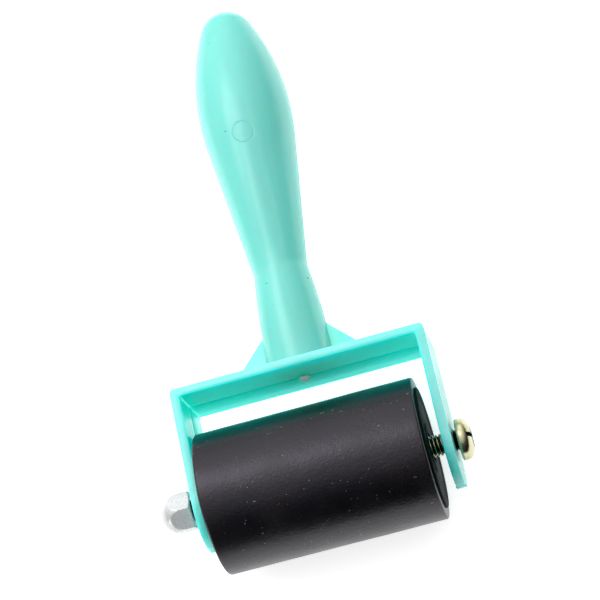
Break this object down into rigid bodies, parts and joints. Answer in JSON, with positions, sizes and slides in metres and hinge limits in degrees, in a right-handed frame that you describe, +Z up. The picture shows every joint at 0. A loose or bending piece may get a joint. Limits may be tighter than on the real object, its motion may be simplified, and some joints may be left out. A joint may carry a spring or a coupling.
{
  "type": "rubber brayer",
  "caption": "Hand roller for inking and pressing: rubber-covered drum on a screw axle in the arms of a one-piece plastic yoke and handle.",
  "frame": {"origin": "the point of the table directly under the middle of the yoke on the roller's axis, where the roller touches", "axes": "+X along the roller's axis towards the screw head, +Y towards the handle's tip, +Z up from the table that the tool lies on"},
  "size_m": [0.086, 0.1587, 0.0386],
  "materials": {
    "mint_plastic": "satin moulded polypropylene, slightly translucent",
    "black_rubber": "smooth ground rubber, semi-matt",
    "core_plastic": "extruded tube, matt",
    "cap_plastic": "moulded, satin",
    "yellow_zinc": "bright yellow-passivated zinc plate on steel",
    "bright_nickel": "bright nickel plate"
  },
  "bodies": {
    "frame": {"handle_frame": "mint_plastic"},
    "axle": {"axle_screw": "yellow_zinc", "cap_nut": "bright_nickel"},
    "roller": {"rubber_sleeve": "black_rubber", "core_tube": "core_plastic", "end_cap_left": "cap_plastic", "end_cap_right": "cap_plastic"}
  },
  "joints": [
    {"name": "roller_spin", "type": "hinge", "parent": "frame", "child": "roller", "pos_m": [0, 0, 0.0193], "axis": [1, 0, 0], "continuous": true},
    {"name": "axle_float", "type": "slide", "parent": "frame", "child": "axle", "axis": [1, 0, 0], "range_m": [-0.0009, 0.0019]}
  ]
}
